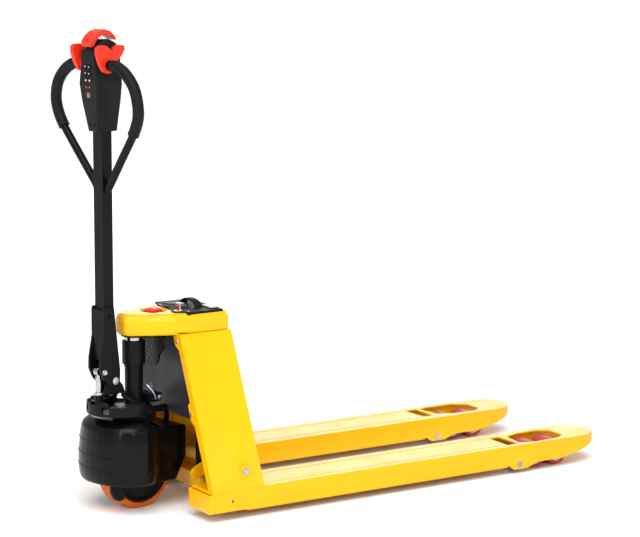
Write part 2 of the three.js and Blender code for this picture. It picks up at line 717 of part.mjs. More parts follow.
function bellyButton() {
  const arch = [[-147, 1262], [-147, 1277], [-136, 1291], [-120, 1302], [-100, 1307], [-82, 1302],
    [-68, 1290], [-61, 1276], [-70, 1282], [-84, 1290], [-100, 1292], [-114, 1290], [-126, 1281],
    [-134, 1268], [-137, 1262]];
  return alongY(arch.reverse(), -22, 22);
}

// ---------- assembly ----------
const chassis = new THREE.Group();
const steered = new THREE.Group();
steered.position.x = STEER_X;
steered.rotation.z = STEER_AT_REST;

function put(group, name, body, material) {
  group.add(meshOf(name, body, material));
}

for (const [side, hand] of [[-1, "right"], [1, "left"]]) {
  put(chassis, `fork_${hand}`, side < 0 ? fork(1).mirror([0, 1, 0]) : fork(1), yellow());
  put(chassis, `load_pin_${hand}`, loadPin(side), steel());
  put(chassis, `push_rod_${hand}`, pushRod(side), blackPaint());
  put(chassis, `load_arm_${hand}`, loadArm(side), blackPaint());
  put(chassis, `bogie_${hand}`, bogie(side), steel());
  put(chassis, `load_roller_rear_${hand}`, loadRoller(side, ROLLER.rear), paint(0xc8323c, 0.45));
  put(chassis, `load_roller_front_${hand}`, loadRoller(side, ROLLER.front), paint(0xc8323c, 0.45));
  put(steered, `grip_${hand}`, grip(side), plastic());
}
put(chassis, "tower_shell", towerShell(), yellow());
put(chassis, "cross_member", crossMember(), yellow());
put(chassis, "hood", hood(), yellow());
put(chassis, "inner_cover", innerCover(), paint(0x26262b, 0.55));
put(chassis, "ram_bracket", ramBracket(), blackPaint());
put(chassis, "ram", ram(), steel());
put(chassis, "ram_guard", ramGuard(), blackPaint());
put(chassis, "switch_panel", switchPanel(), plastic());
put(chassis, "key_barrel", keyBarrel(), steel());
put(chassis, "key", key(), steel());
put(chassis, "stop_button", stopButton(), red());
put(chassis, "battery", battery(), plastic());
put(chassis, "battery_handle", batteryHandle(), plastic());
put(chassis, "battery_latch", batteryLatch(), steel());
put(chassis, "rocker", rocker(), yellow());
put(chassis, "lift_yoke", liftYoke(), blackPaint());

put(steered, "drive_hub", driveHub(), blackPaint());
put(steered, "drive_tyre", driveTyre(), paint(0xe05a10, 0.45));
put(steered, "drive_housing", driveHousing(), blackPaint());
put(steered, "drive_motor", driveMotor(), blackPaint());
put(steered, "drive_cover", driveCover(), paint(0x101012, 0.2));
put(steered, "turret_casting", turretCasting(), blackPaint());
put(steered, "lift_cylinder", liftCylinder(), blackPaint());
put(steered, "valve_block", valveBlock(), blackPaint());
put(steered, "valve_coil", valveCoil(), paint(0x5b6478, 0.4, 0.5));
put(steered, "gas_cylinder", gasCylinder(), blackPaint());
put(steered, "gas_rod", gasRod(), steel());
put(steered, "tiller_yoke", tillerYoke(), blackPaint());
put(steered, "tiller_tube", tillerTube(), blackPaint());
put(steered, "pivot_bolt", pivotBolt(), steel());
put(steered, "handle_bar", handleBar(), blackPaint());
put(steered, "control_head", controlHead(), plastic());
put(steered, "throttle", throttle(), red());
put(steered, "belly_button", bellyButton(), red());
for (const [name, y, z] of BUTTONS) put(steered, name, panelButton(y, z), plastic());

// The truck's own frame: the middle of its floor rectangle.
const model = new THREE.Group();
model.add(chassis, steered);
model.updateMatrixWorld(true);
const extent = new THREE.Box3().setFromObject(model, true);
model.position.set(-(extent.min.x + extent.max.x) / 2, -(extent.min.y + extent.max.y) / 2, -extent.min.z);

const palletTruck = new THREE.Group();
palletTruck.add(model);
export default palletTruck;
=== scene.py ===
"""Looks of an electric pallet truck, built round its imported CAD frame.

The CAD solids set every place and size. Here each one is replaced by a finished piece: pressed
sheet with rolled edges, mouldings with rounded corners, turned and cast parts, and small trim.
Places in chassis millimetres count from the fork heels, and places in steered millimetres from
the steering axis, in the frame that turns with the tiller.
"""
import json
import math

import bmesh
import bpy
from mathutils import Matrix, Vector


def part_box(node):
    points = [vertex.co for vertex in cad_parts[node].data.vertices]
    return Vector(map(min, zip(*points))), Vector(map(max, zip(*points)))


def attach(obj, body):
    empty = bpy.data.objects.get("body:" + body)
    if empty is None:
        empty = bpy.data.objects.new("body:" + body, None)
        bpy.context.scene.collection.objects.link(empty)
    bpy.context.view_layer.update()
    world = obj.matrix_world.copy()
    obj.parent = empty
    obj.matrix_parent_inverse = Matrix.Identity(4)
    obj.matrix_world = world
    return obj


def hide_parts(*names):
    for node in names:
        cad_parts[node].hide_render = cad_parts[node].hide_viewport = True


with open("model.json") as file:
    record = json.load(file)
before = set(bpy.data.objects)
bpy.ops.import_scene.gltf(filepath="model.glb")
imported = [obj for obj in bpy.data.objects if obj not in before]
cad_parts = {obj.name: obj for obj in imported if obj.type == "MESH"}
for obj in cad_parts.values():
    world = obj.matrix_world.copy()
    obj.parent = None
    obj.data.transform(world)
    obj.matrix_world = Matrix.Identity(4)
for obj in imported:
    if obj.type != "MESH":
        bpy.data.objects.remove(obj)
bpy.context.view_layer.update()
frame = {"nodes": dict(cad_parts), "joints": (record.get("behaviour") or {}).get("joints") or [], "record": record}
MM = 0.001

BODY_OF = {n: b for b, nodes in frame["record"]["behaviour"]["bodies"].items() for n in nodes}
SLOT_OF = {s["node"]: s["material_slot"] for s in frame["record"]["subparts"]}
JOINT = {j["name"]: j for j in frame["joints"]}

HEEL = Matrix.Translation((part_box("fork_right")[0].x, 0, 0))
STEER_AXIS = Vector(JOINT["steer"]["pos_m"])
WHEEL_AXIS = Vector(JOINT["drive_wheel_spin"]["axis"])
STEER_ANGLE = math.atan2(-WHEEL_AXIS.x, WHEEL_AXIS.y)
STEERED = Matrix.Translation((STEER_AXIS.x, 0, 0)) @ Matrix.Rotation(STEER_ANGLE, 4, "Z")


# ---------- materials ----------
class Finish:
    """A Principled material whose colour, gloss and relief come from noise in the piece's own frame."""

    def __init__(self, name, colour, rough, metal=0.0, coat=0.0, specular=0.5):
        self.name = name
        self.material = bpy.data.materials.new("finish_" + name)
        self.material.use_nodes = True
        self.tree = self.material.node_tree
        self.shader = self.tree.nodes["Principled BSDF"]
        self.shader.inputs["Metallic"].default_value = metal
        self.shader.inputs["Coat Weight"].default_value = coat
        self.shader.inputs["Coat Roughness"].default_value = 0.06
        self.shader.inputs["Specular IOR Level"].default_value = specular
        self.place = self.tree.nodes.new("ShaderNodeTexCoord").outputs["Object"]
        self.height = None
        self.colour_out = None
        self.tint(colour, [c * 0.94 for c in colour], 9.0, 0.35, 0.65)
        self.gloss(rough, rough * 1.35 + 0.02, 14.0)

    def noise(self, scale, detail, stretch=(1, 1, 1)):
        mapping = self.tree.nodes.new("ShaderNodeMapping")
        mapping.inputs["Scale"].default_value = stretch
        node = self.tree.nodes.new("ShaderNodeTexNoise")
        node.inputs["Scale"].default_value = scale
        node.inputs["Detail"].default_value = detail
        self.tree.links.new(self.place, mapping.inputs["Vector"])
        self.tree.links.new(mapping.outputs[0], node.inputs["Vector"])
        return node.outputs["Fac"]

    def ranged(self, value, low, high, to_low, to_high):
        node = self.tree.nodes.new("ShaderNodeMapRange")
        numbers = {"From Min": low, "From Max": high, "To Min": to_low, "To Max": to_high}
        for socket, number in numbers.items():
            node.inputs[socket].default_value = number
        self.tree.links.new(value, node.inputs["Value"])
        return node.outputs["Result"]

    def tint(self, first, second, scale, low, high, stretch=(1, 1, 1)):
        """Mixes a second colour into the first, or into the colour so far if first is None."""
        factor = self.ranged(self.noise(scale, 6.0, stretch), low, high, 0, 1)
        mix = self.tree.nodes.new("ShaderNodeMix")
        mix.data_type = "RGBA"
        self.tree.links.new(factor, mix.inputs["Factor"])
        if first is None:
            self.tree.links.new(self.colour_out, mix.inputs["A"])
        else:
            mix.inputs["A"].default_value = (*first, 1)
        mix.inputs["B"].default_value = (*second, 1)
        self.colour_out = mix.outputs["Result"]
        self.tree.links.new(self.colour_out, self.shader.inputs["Base Color"])
        return self

    def gloss(self, low, high, scale):
        value = self.ranged(self.noise(scale, 5.0), 0.3, 0.7, low, high)
        self.tree.links.new(value, self.shader.inputs["Roughness"])

    def relief(self, scale, strength, distance, stretch=(1, 1, 1)):
        bump = self.tree.nodes.new("ShaderNodeBump")
        bump.inputs["Strength"].default_value = strength
        bump.inputs["Distance"].default_value = distance
        self.tree.links.new(self.noise(scale, 3.0, stretch), bump.inputs["Height"])
        if self.height is not None:
            self.tree.links.new(self.height, bump.inputs["Normal"])
        self.height = bump.outputs["Normal"]
        self.tree.links.new(self.height, self.shader.inputs["Normal"])
        return self


def dusty(finish, colour, amount):
    """Fine dust and rub marks in small patches."""
    return finish.tint(None, colour, 70.0, 0.74 - amount, 0.9)


def make_materials():
    yellow = Finish("yellow_paint", (0.95, 0.475, 0.0), 0.26, coat=0.12, specular=0.2)
    dusty(yellow, (0.95, 0.52, 0.01), 0.02).relief(380, 0.10, 0.0006).relief(14, 0.04, 0.004)
    black = Finish("black_paint", (0.004, 0.004, 0.0045), 0.28, specular=0.13)
    dusty(black, (0.014, 0.0135, 0.013), 0.03).relief(420, 0.16, 0.0006)
    cast = Finish("cast_paint", (0.0045, 0.0045, 0.005), 0.32, specular=0.14)
    dusty(cast, (0.018, 0.017, 0.016), 0.05).relief(190, 0.35, 0.0012).relief(40, 0.1, 0.003)
    shell = Finish("gloss_shell", (0.0025, 0.0025, 0.003), 0.19, specular=0.16)
    dusty(shell, (0.009, 0.009, 0.01), 0.0).relief(160, 0.03, 0.0008)
    plastic = Finish("black_plastic", (0.008, 0.008, 0.009), 0.4, specular=0.15)
    dusty(plastic, (0.018, 0.018, 0.019), 0.02).relief(1100, 0.35, 0.0004)
    panel = Finish("grey_panel", (0.02, 0.019, 0.026), 0.38, specular=0.25)
    dusty(panel, (0.032, 0.031, 0.038), 0.02).relief(800, 0.25, 0.0005)
    steel = Finish("zinc_steel", (0.52, 0.53, 0.55), 0.26, metal=1.0)
    steel.tint(None, (0.38, 0.37, 0.36), 45, 0.52, 0.8).relief(500, 0.12, 0.0004, (1, 12, 1))
    chrome = Finish("chrome", (0.5, 0.5, 0.52), 0.14, metal=1.0)
    chrome.tint(None, (0.36, 0.36, 0.37), 60, 0.5, 0.8).relief(300, 0.05, 0.0003, (1, 1, 10))
    tyre = Finish("orange_tyre", (0.62, 0.115, 0.0), 0.36, specular=0.25)
    dusty(tyre, (0.34, 0.1, 0.04), 0.1).relief(260, 0.25, 0.001)
    roller = Finish("red_roller", (0.5, 0.035, 0.05), 0.32)
    dusty(roller, (0.62, 0.2, 0.2), 0.08).relief(280, 0.22, 0.0008)
    red = Finish("red_plastic", (0.8, 0.03, 0.008), 0.27, coat=0.1, specular=0.25)
    dusty(red, (0.84, 0.06, 0.03), 0.02).relief(900, 0.12, 0.0003)
    rubber = Finish("grip_rubber", (0.006, 0.006, 0.0065), 0.36, specular=0.15)
    dusty(rubber, (0.024, 0.024, 0.025), 0.04).relief(1300, 0.5, 0.0005)
    zinc = Finish("valve_zinc", (0.1, 0.13, 0.19), 0.34, metal=0.4)
    zinc.tint(None, (0.2, 0.22, 0.27), 50, 0.55, 0.85).relief(240, 0.2, 0.0006)
    mark = Finish("pale_mark", (0.72, 0.72, 0.7), 0.4)
    mark.relief(600, 0.1, 0.0002)
    bronze = Finish("display_glass", (0.16, 0.09, 0.045), 0.12, coat=0.8)
    bronze.tint(None, (0.22, 0.13, 0.07), 90, 0.4, 0.7)
    made = (
        yellow, black, cast, shell, plastic, panel, steel, chrome,
        tyre, roller, red, rubber, zinc, mark, bronze,
    )
    return {f.name: f.material for f in made}


MATERIALS = make_materials()
SLOT_MATERIAL = {
    "yellow_paint": "yellow_paint", "black_paint": "black_paint", "steel": "zinc_steel", "chrome": "chrome",
    "black_cover": "gloss_shell", "black_plastic": "black_plastic", "grey_panel": "grey_panel",
    "orange_tyre": "orange_tyre", "red_roller": "red_roller", "red_plastic": "red_plastic",
    "grip_rubber": "grip_rubber", "valve_zinc": "valve_zinc",
}


# ---------- pieces ----------
def shade(mesh, angle=32):
    for face in mesh.polygons:
        face.use_smooth = True
    mesh.set_sharp_from_angle(angle=math.radians(angle))


def rider(name, mesh, body, material):
    obj = bpy.data.objects.new(name, mesh)
    bpy.context.scene.collection.objects.link(obj)
    mesh.materials.clear()
    mesh.materials.append(MATERIALS[material])
    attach(obj, body)
    return obj


def cad_copy(node, material=None, seams=()):
    """A new piece with a CAD node's shape, its flat faces made whole, that stands for the node.

    seams are the chassis lengths where a pierced face stays parted, so that no face runs round a hole.
    """
    mesh = frame["nodes"][node].data.copy()
    bm = bmesh.new()
    bm.from_mesh(mesh)
    bmesh.ops.remove_doubles(bm, verts=bm.verts, dist=1e-5)
    for x in seams:
        everything = bm.verts[:] + bm.edges[:] + bm.faces[:]
        spot = HEEL @ Vector((x * MM, 0, 0))
        parting = bmesh.ops.bisect_plane(bm, geom=everything, dist=1e-6, plane_co=spot, plane_no=(1, 0, 0))
        for item in parting["geom_cut"]:
            if isinstance(item, bmesh.types.BMEdge):
                item.seam = True
    bmesh.ops.dissolve_limit(
        bm, angle_limit=math.radians(1.0), verts=bm.verts, edges=bm.edges, delimit={"SEAM"}
    )
    bmesh.ops.recalc_face_normals(bm, faces=bm.faces)
    bm.to_mesh(mesh)
    bm.free()
    shade(mesh)
    slot = SLOT_OF[node]
    obj = rider(node + "_finished", mesh, BODY_OF[node], material or SLOT_MATERIAL[slot])
    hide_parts(node)
    return obj


def soften(node, width, material=None, segments=3, seams=()):
    """Sheet and plate: every sharp edge is rolled over to a small radius."""
    obj = cad_copy(node, material, seams)
    bevel = obj.modifiers.new("rolled_edges", "BEVEL")
    bevel.width = width * MM
    bevel.segments = segments
    bevel.limit_method = "ANGLE"
    bevel.angle_limit = math.radians(31)
    bevel.harden_normals = True
    bevel.miter_outer = "MITER_ARC"
    return obj


def mould(node, voxel, rounds, material=None):
    """Castings and mouldings: the surface is remade as one skin and relaxed, so corners blend."""
    obj = cad_copy(node, material)
    skin = obj.modifiers.new("skin", "REMESH")
    skin.mode = "VOXEL"
    skin.voxel_size = voxel * MM
    skin.use_smooth_shade = True
    relax = obj.modifiers.new("relax", "SMOOTH")
    relax.factor = 0.5
    relax.iterations = rounds
    return obj


def from_rings(name, rings, body, material, place, closed=True, angle=40):
    """A skin through rings of equally many points in millimetres, with flat ends if it is closed."""
    bm = bmesh.new()
    levels = [[bm.verts.new(place @ (Vector(p) * MM)) for p in ring] for ring in rings]
    for low, high in zip(levels, levels[1:]):
        for j in range(len(low)):
            k = (j + 1) % len(low)
            bm.faces.new((low[j], low[k], high[k], high[j]))
    if closed:
        bm.faces.new(list(reversed(levels[0])))
        bm.faces.new(levels[-1])
    bmesh.ops.recalc_face_normals(bm, faces=bm.faces)
    mesh = bpy.data.meshes.new(name)
    bm.to_mesh(mesh)
    bm.free()
    shade(mesh, angle)
    return rider(name, mesh, body, material)


def axes_of(direction):
    """Two unit vectors across a direction, so that the three make a right-handed set."""
    along = Vector(direction).normalized()
    helper = Vector((0, 0, 1)) if abs(along.z) < 0.9 else Vector((1, 0, 0))
    first = helper.cross(along).normalized()
    return first, along.cross(first)


def turned(
    name, centre, direction, profile, body, material, place, sides=64, ring=False, angle=40
):
    """A turned part: profile holds radius and height pairs along the direction.

    With ring the profile is a loop, so the part is open in the middle.
    """
    u, v = axes_of(direction)
    along = Vector(direction).normalized()
    steps = profile + [profile[0]] if ring else profile
    rings = [
        [
            Vector(centre) + along * h + (u * math.cos(a) + v * math.sin(a)) * r
            for a in (2 * math.pi * i / sides for i in range(sides))
        ]
        for r, h in steps
    ]
    obj = from_rings(name, rings, body, material, place, not ring, angle)
    if ring:
        weld_seam(obj.data)
    return obj


def weld_seam(mesh):
    """Joins the first and last rings of a looped profile."""
    bm = bmesh.new()
    bm.from_mesh(mesh)
    bmesh.ops.remove_doubles(bm, verts=bm.verts, dist=1e-6)
    bmesh.ops.recalc_face_normals(bm, faces=bm.faces)
    bm.to_mesh(mesh)
    bm.free()


def rounded(profile, radius, steps=5):
    """Rounds the inner corners of an open profile of pairs."""
    out = [profile[0]]
    for before, here, after in zip(profile, profile[1:], profile[2:]):
        p, q, r = (Vector(x) for x in (before, here, after))
        reach = min(radius, (p - q).length * 0.45, (r - q).length * 0.45)
        start = q + (p - q).normalized() * reach
        end = q + (r - q).normalized() * reach
        for i in range(steps + 1):
            t = i / steps
            out.append(tuple(start * (1 - t) ** 2 + q * 2 * t * (1 - t) + end * t * t))
    return out + [profile[-1]]


def swept(name, path, radius, body, material, place, sides=28):
    """A round bar along a path in millimetres.

    radius is a number, or a function of the share of the way.
    """
    rings = []
    u = None
    for i, point in enumerate(path):
        ahead = path[min(i + 1, len(path) - 1)] - path[max(i - 1, 0)]
        along = ahead.normalized()
        u = axes_of(along)[0] if u is None else (u - along * u.dot(along)).normalized()
        v = along.cross(u)
        r = radius(i / (len(path) - 1)) if callable(radius) else radius
        turns = (2 * math.pi * k / sides for k in range(sides))
        rings.append([point + (u * math.cos(a) + v * math.sin(a)) * r for a in turns])
    return from_rings(name, rings, body, material, place, angle=50)


def plate(name, centre, size, body, material, place, radius=1.0):
    """A small block with rounded edges."""
    mesh = bpy.data.meshes.new(name)
    bm = bmesh.new()
    bmesh.ops.create_cube(bm, size=1.0)
    bmesh.ops.scale(bm, vec=Vector(size) * MM, verts=bm.verts)
    bmesh.ops.bevel(bm, geom=bm.edges[:], offset=radius * MM, segments=3, affect="EDGES", profile=0.5)
    bmesh.ops.transform(bm, matrix=place @ Matrix.Translation(Vector(centre) * MM), verts=bm.verts)
    bm.to_mesh(mesh)
    bm.free()
    shade(mesh, 50)
    return rider(name, mesh, body, material)


WASHER = 1.4  # thickness of the washer under a hexagon head


def hex_bolt(name, centre, direction, across, height, body, place, material="zinc_steel"):
    """A hexagon head on a washer, with its corners cut off at both ends."""
    rim = across * 0.68
    washer = rounded([(0, 0), (rim, 0), (rim, WASHER), (0, WASHER)], 0.5)
    turned(name + "_washer", centre, direction, washer[1:-1], body, material, place, 40)
    corner = across * 0.577
    head = [(across * 0.54, WASHER), (corner, 2.0), (corner, height - 1.2), (across * 0.5, height)]
    turned(name + "_head", centre, direction, head, body, material, place, 6, angle=20)


def cap_screw(name, centre, direction, radius, body, place, material="zinc_steel"):
    """A low round head with a socket."""
    outer = [(radius, 0), (radius, 1.2), (radius * 0.86, 2.4), (radius * 0.5, 2.9), (radius * 0.45, 2.9)]
    turned(name, centre, direction, outer + [(radius * 0.42, 1.2)], body, material, place, 32)


def smooth_path(points, per_span):
    """A Catmull-Rom path through points."""
    points = [Vector(p) for p in points]
    padded = [points[0] * 2 - points[1], *points, points[-1] * 2 - points[-2]]
    path = []
    for a, b, c, d in zip(padded, padded[1:], padded[2:], padded[3:]):
        for i in range(per_span):
            t = i / per_span
            cubic = a * (-t + 2 * t * t - t**3) + b * (2 - 5 * t * t + 3 * t**3)
            path.append((cubic + c * (t + 4 * t * t - 3 * t**3) + d * (t**3 - t * t)) / 2)
    return path + [points[-1]]


# ---------- forks and tower ----------
def forks_and_tower():
    for hand, side in (("right", -1), ("left", 1)):
        soften(f"fork_{hand}", 1.6, seams=(73, 590, 1035, 1120))
        soften(f"push_rod_{hand}", 1.5)
        fork_welds(hand, side)
        pin_ends(hand, side)
        tower_screws(hand, side)
    soften("tower_shell", 3.0, segments=4)
    soften("cross_member", 2.0)
    soften("inner_cover", 0.8)
    inner_cover_ribs()
    soften("rocker", 1.5)
    soften("lift_yoke", 2.0)


def fork_welds(hand, side):
    """The bead where the tower's side plate stands on the fork, and the one across the fork heel."""

    def bead(share):
        return 2.4 + 0.35 * math.sin(share * 150)

    y = side * 278.2
    side_seam = [Vector((x, y, 84.6)) for x in range(13, 171)]
    swept(f"weld_tower_{hand}", side_seam, bead, "chassis", "yellow_paint", HEEL, 10)
    heel = [Vector((10.5, side * (277 - d), 79.5)) for d in range(0, 106)]
    swept(f"weld_heel_{hand}", heel, bead, "chassis", "yellow_paint", HEEL, 10)


def pin_ends(hand, side):
    """Pin heads that show on the fork's outer side: the load arm's pin and the rocker's pin."""
    pin = f"load_pin_{hand}"
    profile = rounded([(0.01, 0), (8.6, 0), (8.6, 3.4), (0.01, 3.4)], 1.2)
    centre = (1035, side * 277.6, 27)
    turned(f"{pin}_head", centre, (0, side, 0), profile, "chassis", "zinc_steel", HEEL, 40)
    cad_copy(pin)
    collar = rounded([(10.2, 0), (16, 0), (16, 4.5), (10.2, 4.5)], 1.2)
    # The rocker's pin ends in a collar on the leaning side plate.
    outer = (120, side * 262.4, 127)
    turned(f"rocker_collar_{hand}", outer, (0, side, 0), collar, "chassis", "chrome", HEEL, 48)
    dome = rounded([(0.01, 0), (9.4, 0), (9.4, 3.2), (5.2, 3.2), (4.6, 1.6), (0.01, 1.6)], 0.7)
    tip = (120, side * 266, 127)
    turned(f"rocker_pin_end_{hand}", tip, (0, side, 0), dome, "rocker", "chrome", HEEL, 40)


def tower_screws(hand, side):
    """Screws that hold the inner cover through the flange tabs."""
    for place_name, y, z in (("upper", 87, 463), ("lower", 165, 276)):
        centre = (12.2, side * y, z)
        cap_screw(f"flange_screw_{place_name}_{hand}", centre, (-1, 0, 0), 5.2, "chassis", HEEL)


def inner_cover_ribs():
    for k in range(4):
        centre = (27.6, 0, 300 + 38 * k)
        plate(f"inner_cover_rib_{k}", centre, (1.6, 62, 5), "chassis", "grey_panel", HEEL, 0.7)


# ---------- hood and battery ----------
def hood_and_controls():
    mould("hood", 2.0, 5)
    soften("ram_bracket", 1.2)
    bracket_rivets()
    soften("switch_panel", 0.6)
    emergency_stop()
    key_switch()
    panel_trim()
    soften("battery", 2.2, segments=4)
    battery_trim()


def bracket_rivets():
    """A slanting row of small rivets on the bracket's hanging lobe."""
    for k in range(5):
        centre = (-22.1, -16 + 8 * k, 452 - 12 * k)
        cap_screw(f"bracket_rivet_{k}", centre, (-1, 0, 0), 2.1, "chassis", HEEL)


def emergency_stop():
    """A red mushroom on a collar, in the hood's round recess."""
    low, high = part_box("stop_button")
    centre = (low + high) / 2 - HEEL.translation
    x = centre.x / MM
    top = high.z / MM
    mushroom = [
        (9.6, top - 29), (9.6, top - 10.4), (21.2, top - 10), (23.1, top - 8.2), (23.3, top - 5.6),
        (21.6, top - 3.2), (17.2, top - 1.2), (11.5, top - 0.3), (9, top - 0.9), (0.01, top - 1.1),
    ]
    obj = turned(
        "stop_mushroom", (x, 0, 0), (0, 0, 1), rounded(mushroom, 1.5), "stop_button", "red_plastic", HEEL, 64,
    )
    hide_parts("stop_button")
    ring = 15.6  # radius of the ring that the three arrows lie on
    for k in range(3):
        angle = 2 * math.pi * k / 3
        turns = [angle + t * 0.12 for t in range(10)]
        arc = [Vector((x + ring * math.cos(a), ring * math.sin(a), top - 1.0)) for a in turns]
        swept(f"stop_arrow_{k}", arc, lambda s: 0.9 * (1 - s) + 0.25, "stop_button", "pale_mark", HEEL, 8)
    collar = rounded([(24.4, 531.6), (29, 531.6), (29, 534.4), (24.4, 534.4), (24.4, 532)], 0.8)
    turned("stop_collar", (x, 0, 0), (0, 0, 1), collar, "chassis", "black_plastic", HEEL, 64, ring=True)


def key_switch():
    soften("key_barrel", 0.6)
    soften("key", 0.5)
    low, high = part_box("key")
    centre = (low + high) / 2
    x, y = (centre.x - HEEL.translation.x) / MM, centre.y / MM
    bow = [(7.4, -1.5), (11, -1.5), (11, 1.5), (7.4, 1.5)]
    turned("key_bow", (x, y, 553), (1, 0, 0), bow, "key_switch", "chrome", HEEL, 32, ring=True)


def panel_trim():
    """Charge lights and a horn switch on the switch panel."""
    lens = [(2.0, 0), (2.0, 0.8), (1.2, 1.3)]
    for k, material in enumerate(("pale_mark", "pale_mark", "pale_mark", "display_glass")):
        centre = (35, 38 + 7 * k, 540.9)
        turned(f"charge_light_{k}", centre, (0, 0, 1), lens, "chassis", material, HEEL, 20)
    plate("horn_switch", (35, 10, 541.6), (8, 16, 2.6), "chassis", "black_plastic", HEEL, 0.8)


def battery_trim():
    """The arched handle with a ribbed grip, the latch, and the lid's plates, screws and side ribs."""
    low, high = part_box("battery_handle")
    x0, x1 = ((p.x - HEEL.translation.x) / MM for p in (low, high))
    top = high.z / MM
    foot = low.z / MM + 0.2
    width = (x1 - x0) / 2
    rise = top - foot - 6
    last = 40
    arch = []
    for k in range(last + 1):
        angle = math.pi * k / last
        arch.append(Vector(((x0 + x1) / 2, 39 * math.cos(angle), foot + 3 + rise * math.sin(angle))))
    rings = []
    for k, p in enumerate(arch):
        ahead = (arch[min(k + 1, last)] - arch[max(k - 1, 0)]).normalized()
        up = Vector((1, 0, 0)).cross(ahead).normalized()
        rib = 0.35 * math.cos(k * 2.1) if 9 < k < 31 else 0.0
        section = []
        for j in range(24):
            a = 2 * math.pi * j / 24
            c, s = math.cos(a), math.sin(a)
            across = math.copysign(abs(c) ** 0.5, c) * (width - 0.6)
            outward = math.copysign(abs(s) ** 0.7, s) * (2.5 + rib)
            section.append(p + Vector((1, 0, 0)) * across + up * outward)
        rings.append(section)
    obj = from_rings(
        "battery_handle_arch", rings, "battery", "black_plastic", HEEL, angle=60
    )
    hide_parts("battery_handle")
    for side in (-1, 1):
        centre = ((x0 + x1) / 2, side * 40, foot + 2)
        plate(f"handle_foot_{side + 1}", centre, (23, 7, 3.6), "battery", "black_plastic", HEEL, 1.2)
    soften("battery_latch", 1.0)
    plate("latch_lever", (69, -10, 549.5), (12, 16, 5), "battery", "chrome", HEEL, 1.5)
    plate("socket_cover", (136, -52, 543.4), (24, 46, 4.4), "battery", "pale_mark", HEEL, 1.6)
    plate("socket_frame", (136, -52, 541.9), (30, 54, 1.6), "battery", "black_plastic", HEEL, 0.6)
    plate("lid_plate", (72, 46, 541.8), (34, 46, 1.4), "battery", "grey_panel", HEEL, 0.6)
    for k, y in enumerate((-84, 84)):
        for j, x in enumerate((50, 146)):
            cap_screw(f"lid_screw_{k}_{j}", (x, y, 541), (0, 0, 1), 3.2, "battery", HEEL)
    for k in range(7):
        for side in (-1, 1):
            centre = (99, side * 86.6, 300 + 32 * k)
            plate(f"battery_rib_{k}_{side + 1}", centre, (96, 1.6, 6), "battery", "black_plastic", HEEL, 0.6)


# ---------- load wheels ----------
FORK_MIDDLE = 206.25  # from the truck's middle to the middle of a fork


def load_wheels():
    for hand, side in (("right", -1), ("left", 1)):
        soften(f"load_arm_{hand}", 1.0)
        soften(f"bogie_{hand}", 0.8)
        for row in ("rear", "front"):
            load_roller(f"load_roller_{row}_{hand}")
        for s in (-1, 1):
            spot = (1153, side * FORK_MIDDLE + s * 53.5, 37)
            hex_bolt(f"bogie_bolt_{hand}_{s + 1}", spot, (0, s, 0), 10, 3.6, f"bogie_{hand}", HEEL)


def load_roller(node):
    """A polyurethane tread on a steel core, with sealed bearings in its ends."""
    low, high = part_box(node)
    centre = ((low + high) / 2 - HEEL.translation) / MM
    half = (high.y - low.y) / 2 / MM
    rim = (high.z - low.z) / 2 / MM
    body = BODY_OF[node]
    tread = rounded([(27, -half), (rim, -half), (rim, half), (27, half)], 4.5, 6)
    obj = turned(
        node + "_tread", centre, (0, 1, 0), tread, body, "red_roller", HEEL, 80, ring=True
    )
    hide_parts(node)
    core = rounded([(15, 2 - half), (26.8, 1 - half), (26.8, half - 1), (15, half - 2)], 1.2)
    turned(node + "_core", centre, (0, 1, 0), core, body, "zinc_steel", HEEL, 64, ring=True)
    seal = rounded([(8.6, -1), (14.8, -1), (14.8, 1), (8.6, 1)], 0.5)
    for s in (-1, 1):
        spot = centre + Vector((0, s * (half - 3.4), 0))
        turned(f"{node}_seal_{s + 1}", spot, (0, 1, 0), seal, body, "black_plastic", HEEL, 48, ring=True)


# ---------- drive unit ----------
GAS_X = -120  # steered x of the gas spring's axis


def drive_unit():
    wheel()
    soften("drive_housing", 2.0, "cast_paint")
    housing_bolts()
    soften("drive_motor", 2.0)
    motor_fins()
    mould("drive_cover", 1.8, 60)
    cover_trim()
    mould("turret_casting", 1.5, 4, "cast_paint")
    lift_cylinder()
    valves()
    gas_spring()


